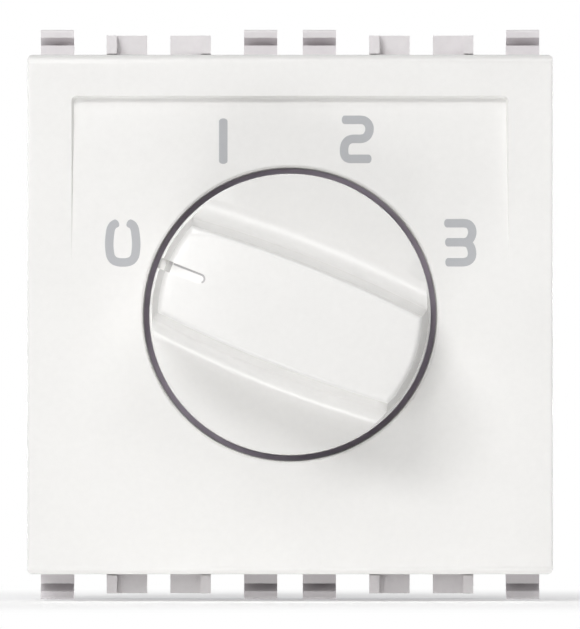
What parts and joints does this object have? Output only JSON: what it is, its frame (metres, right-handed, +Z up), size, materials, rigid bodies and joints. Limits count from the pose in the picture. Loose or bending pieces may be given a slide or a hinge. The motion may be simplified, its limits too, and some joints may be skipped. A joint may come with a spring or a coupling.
{
  "type": "fan speed control switch",
  "caption": "White square snap-in fan speed switch with a bar-grip rotary knob, a sloped panel with printed positions, snap clips, and screw terminals behind.",
  "frame": {"origin": "on the knob's axis, in the plane where the seat ribs bear on the front of the mounting frame", "axes": "+Z up, the face looks along -Y, +X to the right as seen from the front"},
  "size_m": [0.0448, 0.046, 0.0488],
  "materials": {
    "white_face_plastic": "satin moulded",
    "white_frame_plastic": "satin moulded",
    "grey_housing_plastic": "fine matt moulded",
    "ivory_rotor_plastic": "satin moulded",
    "brown_base_plastic": "matt pressed",
    "spring_steel": "rolled",
    "contact_brass": "stamped",
    "plated_steel": "zinc plated"
  },
  "bodies": {
    "housing": {"front_cover": "white_face_plastic", "body_frame": "white_frame_plastic", "rear_housing": "grey_housing_plastic", "contact_base": "brown_base_plastic", "detent_spring": "spring_steel", "housing_screws": "plated_steel", "common_contact": "contact_brass", "speed_1_contact": "contact_brass", "speed_2_contact": "contact_brass", "speed_3_contact": "contact_brass"},
    "turning_knob": {"knob": "white_face_plastic", "knob_spring_clip": "spring_steel", "rotor": "ivory_rotor_plastic", "wiper_contact": "contact_brass", "contact_spring": "spring_steel"},
    "screw_body_common": {"screw_common": "plated_steel"},
    "clamp_body_common": {"clamp_common": "plated_steel"},
    "screw_body_1": {"screw_1": "plated_steel"},
    "clamp_body_1": {"clamp_1": "plated_steel"},
    "screw_body_2": {"screw_2": "plated_steel"},
    "clamp_body_2": {"clamp_2": "plated_steel"},
    "screw_body_3": {"screw_3": "plated_steel"},
    "clamp_body_3": {"clamp_3": "plated_steel"}
  },
  "joints": [
    {"name": "knob_turn", "type": "hinge", "parent": "housing", "child": "turning_knob", "pos_m": [0, 0, 0], "axis": [0, 1, 0], "range_deg": [0, 135], "deforming": ["detent_spring"]},
    {"name": "screw_common_turn", "type": "hinge", "parent": "housing", "child": "screw_body_common", "pos_m": [-0.0155, 0, -0.0141], "axis": [0, -1, 0], "range_deg": [0, 1800]},
    {"name": "clamp_common_rise", "type": "slide", "parent": "housing", "child": "clamp_body_common", "axis": [0, 1, 0], "range_m": [0, 0.003]},
    {"name": "screw_1_turn", "type": "hinge", "parent": "housing", "child": "screw_body_1", "pos_m": [-0.0155, 0, 0.0141], "axis": [0, -1, 0], "range_deg": [0, 1800]},
    {"name": "clamp_1_rise", "type": "slide", "parent": "housing", "child": "clamp_body_1", "axis": [0, 1, 0], "range_m": [0, 0.003]},
    {"name": "screw_2_turn", "type": "hinge", "parent": "housing", "child": "screw_body_2", "pos_m": [0.0155, 0, 0.0141], "axis": [0, -1, 0], "range_deg": [0, 1800]},
    {"name": "clamp_2_rise", "type": "slide", "parent": "housing", "child": "clamp_body_2", "axis": [0, 1, 0], "range_m": [0, 0.003]},
    {"name": "screw_3_turn", "type": "hinge", "parent": "housing", "child": "screw_body_3", "pos_m": [0.0155, 0, -0.0141], "axis": [0, -1, 0], "range_deg": [0, 1800]},
    {"name": "clamp_3_rise", "type": "slide", "parent": "housing", "child": "clamp_body_3", "axis": [0, 1, 0], "range_m": [0, 0.003]}
  ],
  "couplings": [
    {"joint": "screw_common_turn", "follows": "clamp_common_rise", "rad_per_m": 10472},
    {"joint": "screw_1_turn", "follows": "clamp_1_rise", "rad_per_m": 10472},
    {"joint": "screw_2_turn", "follows": "clamp_2_rise", "rad_per_m": 10472},
    {"joint": "screw_3_turn", "follows": "clamp_3_rise", "rad_per_m": 10472}
  ]
}
